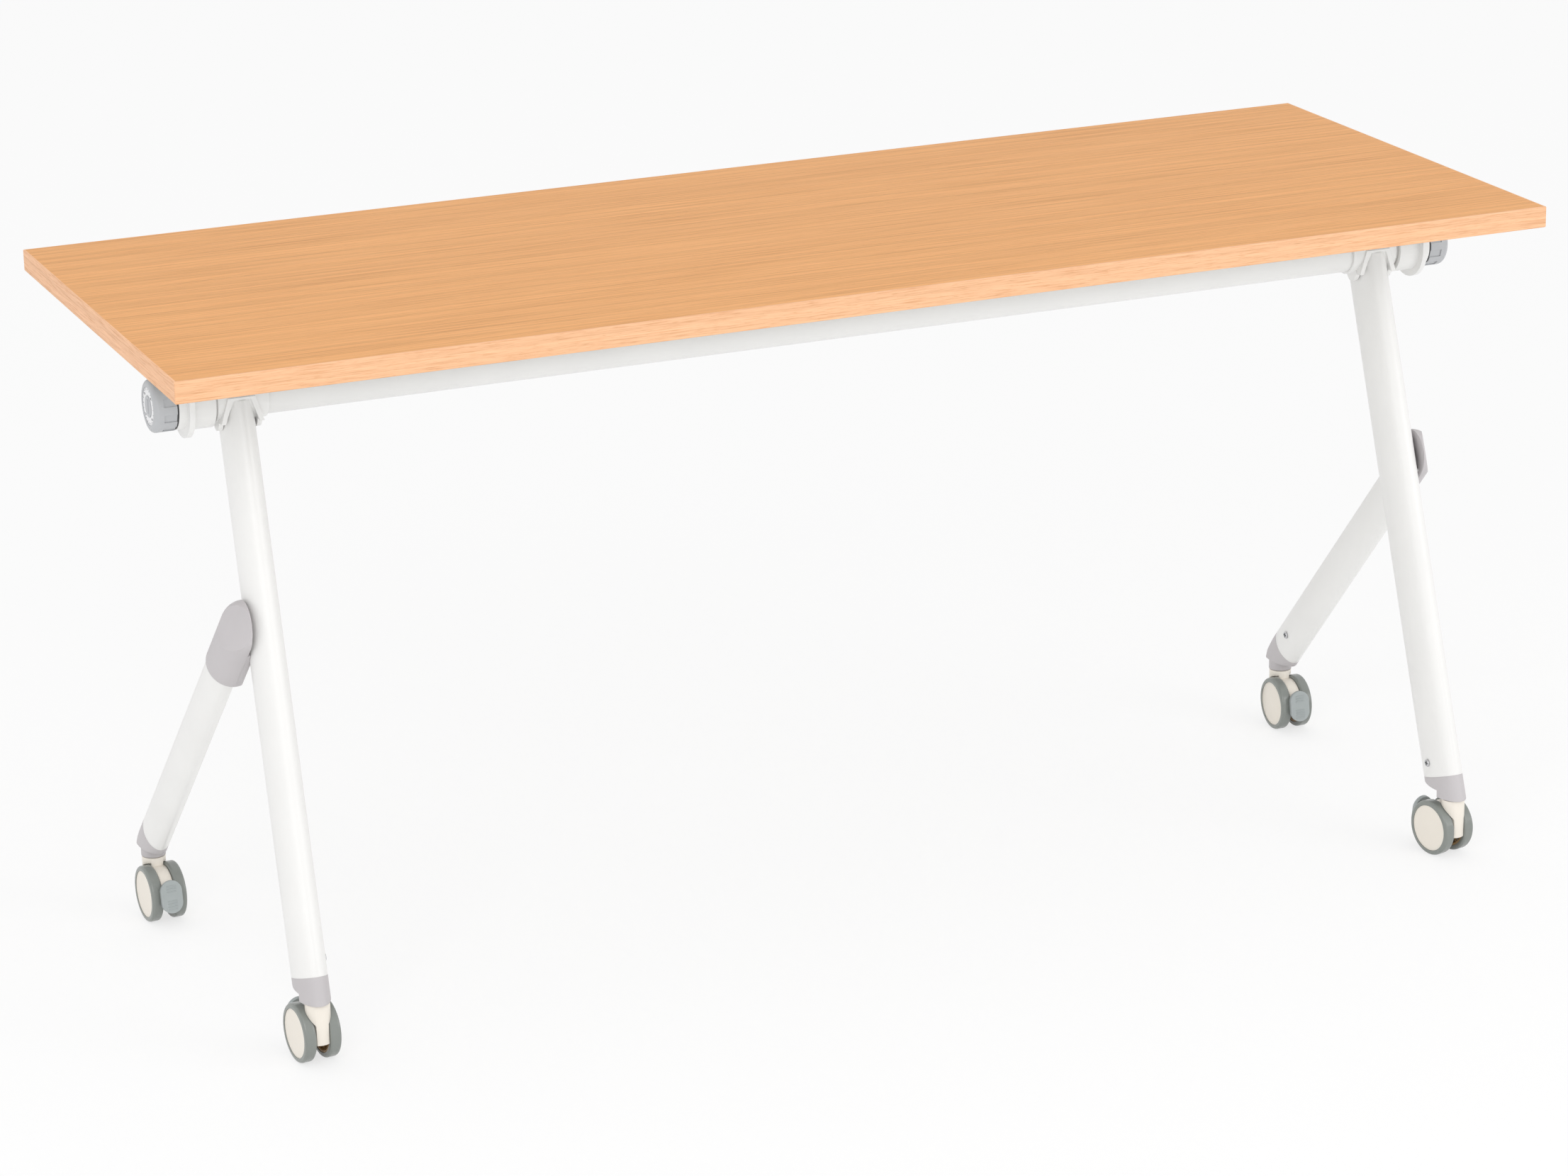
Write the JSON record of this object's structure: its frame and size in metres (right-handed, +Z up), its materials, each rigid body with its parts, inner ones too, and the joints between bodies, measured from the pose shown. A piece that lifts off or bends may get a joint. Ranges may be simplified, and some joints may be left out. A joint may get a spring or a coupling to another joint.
{
  "type": "folding desk",
  "caption": "Flip-top folding desk: a long wood-laminate top that tilts on a crossbeam between leaning oval tube legs with locking knobs and twin-wheel casters.",
  "frame": {"origin": "floor level, midway along the desk and midway between the foremost wheel and the back edge of the top", "axes": "+Z up, +X along the desk to the right as seen from the front, front towards -Y"},
  "size_m": [1.6, 0.6334, 0.76],
  "materials": {
    "laminate": "satin beech laminate",
    "edge_band": "satin wood-print edge band",
    "powder_coat": "satin off-white powder coat",
    "cover_plastic": "fine-grained grey plastic",
    "knob_plastic": "fine-grained blue-grey plastic",
    "label_plastic": "smooth white plastic",
    "pedal_plastic": "fine-grained blue-grey plastic",
    "caster_plastic": "satin cream plastic",
    "tyre_rubber": "glossy grey tread",
    "seal": "matte black",
    "nylon": "matte black nylon",
    "steel": "zinc-plated"
  },
  "bodies": {
    "frame": {"crossbeam": "powder_coat", "beam_plugs": "nylon", "foot_screws": "steel", "hub_covers_inner": "cover_plastic", "leg_head_left": "powder_coat", "main_leg_left": "powder_coat", "rear_leg_left": "powder_coat", "hub_cover_outer_left": "cover_plastic", "front_foot_left": "cover_plastic", "rear_foot_left": "cover_plastic", "leg_head_right": "powder_coat", "main_leg_right": "powder_coat", "rear_leg_right": "powder_coat", "hub_cover_outer_right": "cover_plastic", "front_foot_right": "cover_plastic", "rear_foot_right": "cover_plastic"},
    "tabletop": {"tabletop_board": "laminate", "edge_bands_long": "edge_band", "edge_bands_short": "edge_band", "bracket_screws": "steel", "hinge_bushes": "nylon", "knob_seals": "seal", "hinge_bracket_left": "powder_coat", "hinge_bracket_right": "powder_coat"},
    "knob_left": {"knob_grip_left": "knob_plastic", "knob_label_left": "label_plastic", "knob_spindle_left": "steel"},
    "clamp_left": {"clamp_disc_left": "steel"},
    "knob_right": {"knob_grip_right": "knob_plastic", "knob_label_right": "label_plastic", "knob_spindle_right": "steel"},
    "clamp_right": {"clamp_disc_right": "steel"},
    "caster_front_left": {"caster_housing_front_left": "caster_plastic", "caster_pins_front_left": "steel"},
    "wheel_front_left_a": {"wheel_tyre_front_left_a": "tyre_rubber", "wheel_core_front_left_a": "caster_plastic"},
    "wheel_front_left_b": {"wheel_tyre_front_left_b": "tyre_rubber", "wheel_core_front_left_b": "caster_plastic"},
    "pedal_front_left": {"brake_pedal_front_left": "pedal_plastic"},
    "caster_front_right": {"caster_housing_front_right": "caster_plastic", "caster_pins_front_right": "steel"},
    "wheel_front_right_a": {"wheel_tyre_front_right_a": "tyre_rubber", "wheel_core_front_right_a": "caster_plastic"},
    "wheel_front_right_b": {"wheel_tyre_front_right_b": "tyre_rubber", "wheel_core_front_right_b": "caster_plastic"},
    "pedal_front_right": {"brake_pedal_front_right": "pedal_plastic"},
    "caster_rear_left": {"caster_housing_rear_left": "caster_plastic", "caster_pins_rear_left": "steel"},
    "wheel_rear_left_a": {"wheel_tyre_rear_left_a": "tyre_rubber", "wheel_core_rear_left_a": "caster_plastic"},
    "wheel_rear_left_b": {"wheel_tyre_rear_left_b": "tyre_rubber", "wheel_core_rear_left_b": "caster_plastic"},
    "pedal_rear_left": {"brake_pedal_rear_left": "pedal_plastic"},
    "caster_rear_right": {"caster_housing_rear_right": "caster_plastic", "caster_pins_rear_right": "steel"},
    "wheel_rear_right_a": {"wheel_tyre_rear_right_a": "tyre_rubber", "wheel_core_rear_right_a": "caster_plastic"},
    "wheel_rear_right_b": {"wheel_tyre_rear_right_b": "tyre_rubber", "wheel_core_rear_right_b": "caster_plastic"},
    "pedal_rear_right": {"brake_pedal_rear_right": "pedal_plastic"}
  },
  "joints": [
    {"name": "top_flip", "type": "hinge", "parent": "frame", "child": "tabletop", "pos_m": [0, -0.0863, 0.68], "axis": [1, 0, 0], "range_deg": [0, 72]},
    {"name": "knob_turn_left", "type": "hinge", "parent": "tabletop", "child": "knob_left", "pos_m": [-0.776, -0.0863, 0.68], "axis": [-1, 0, 0], "range_deg": [0, 90]},
    {"name": "clamp_slide_left", "type": "slide", "parent": "tabletop", "child": "clamp_left", "axis": [-1, 0, 0], "range_m": [0, 0.0015]},
    {"name": "knob_turn_right", "type": "hinge", "parent": "tabletop", "child": "knob_right", "pos_m": [0.776, -0.0863, 0.68], "axis": [1, 0, 0], "range_deg": [0, 90]},
    {"name": "clamp_slide_right", "type": "slide", "parent": "tabletop", "child": "clamp_right", "axis": [1, 0, 0], "range_m": [0, 0.0015]},
    {"name": "caster_swivel_front_left", "type": "hinge", "parent": "frame", "child": "caster_front_left", "pos_m": [-0.69, -0.2993, 0.072], "axis": [0, 0, 1], "continuous": true},
    {"name": "wheel_roll_front_left_a", "type": "hinge", "parent": "caster_front_left", "child": "wheel_front_left_a", "pos_m": [-0.70586, -0.28274, 0.0325], "axis": [0.9954, 0.0958, 0], "continuous": true},
    {"name": "wheel_roll_front_left_b", "type": "hinge", "parent": "caster_front_left", "child": "wheel_front_left_b", "pos_m": [-0.67759, -0.28002, 0.0325], "axis": [0.9954, 0.0958, 0], "continuous": true},
    {"name": "pedal_press_front_left", "type": "hinge", "parent": "caster_front_left", "child": "pedal_front_left", "pos_m": [-0.69364, -0.26148, 0.035], "axis": [0.9954, 0.0958, 0], "range_deg": [0, 8]},
    {"name": "caster_swivel_front_right", "type": "hinge", "parent": "frame", "child": "caster_front_right", "pos_m": [0.69, -0.2993, 0.072], "axis": [0, 0, 1], "continuous": true},
    {"name": "wheel_roll_front_right_a", "type": "hinge", "parent": "caster_front_right", "child": "wheel_front_right_a", "pos_m": [0.67289, -0.28404, 0.0325], "axis": [0.9848, 0.1736, 0], "continuous": true},
    {"name": "wheel_roll_front_right_b", "type": "hinge", "parent": "caster_front_right", "child": "wheel_front_right_b", "pos_m": [0.70086, -0.27911, 0.0325], "axis": [0.9848, 0.1736, 0], "continuous": true},
    {"name": "pedal_press_front_right", "type": "hinge", "parent": "caster_front_right", "child": "pedal_front_right", "pos_m": [0.6834, -0.26188, 0.035], "axis": [0.9848, 0.1736, 0], "range_deg": [0, 8]},
    {"name": "caster_swivel_rear_left", "type": "hinge", "parent": "frame", "child": "caster_rear_left", "pos_m": [-0.72916, 0.18666, 0.072], "axis": [0, 0, 1], "continuous": true},
    {"name": "wheel_roll_rear_left_a", "type": "hinge", "parent": "caster_rear_left", "child": "wheel_rear_left_a", "pos_m": [-0.71388, 0.16956, 0.0325], "axis": [-0.9981, -0.061, 0], "continuous": true},
    {"name": "wheel_roll_rear_left_b", "type": "hinge", "parent": "caster_rear_left", "child": "wheel_rear_left_b", "pos_m": [-0.74223, 0.16782, 0.0325], "axis": [-0.9981, -0.061, 0], "continuous": true},
    {"name": "pedal_press_rear_left", "type": "hinge", "parent": "caster_rear_left", "child": "pedal_rear_left", "pos_m": [-0.72684, 0.14873, 0.035], "axis": [-0.9981, -0.061, 0], "range_deg": [0, 8]},
    {"name": "caster_swivel_rear_right", "type": "hinge", "parent": "frame", "child": "caster_rear_right", "pos_m": [0.72916, 0.18666, 0.072], "axis": [0, 0, 1], "continuous": true},
    {"name": "wheel_roll_rear_right_a", "type": "hinge", "parent": "caster_rear_right", "child": "wheel_rear_right_a", "pos_m": [0.74262, 0.1681, 0.0325], "axis": [-0.9992, 0.0401, 0], "continuous": true},
    {"name": "wheel_roll_rear_right_b", "type": "hinge", "parent": "caster_rear_right", "child": "wheel_rear_right_b", "pos_m": [0.71425, 0.16924, 0.0325], "axis": [-0.9992, 0.0401, 0], "continuous": true},
    {"name": "pedal_press_rear_right", "type": "hinge", "parent": "caster_rear_right", "child": "pedal_rear_right", "pos_m": [0.72763, 0.14869, 0.035], "axis": [-0.9992, 0.0401, 0], "range_deg": [0, 8]}
  ],
  "couplings": [
    {"joint": "clamp_slide_left", "follows": "knob_turn_left", "m_per_rad": 0.00095483},
    {"joint": "clamp_slide_right", "follows": "knob_turn_right", "m_per_rad": 0.00095483}
  ]
}
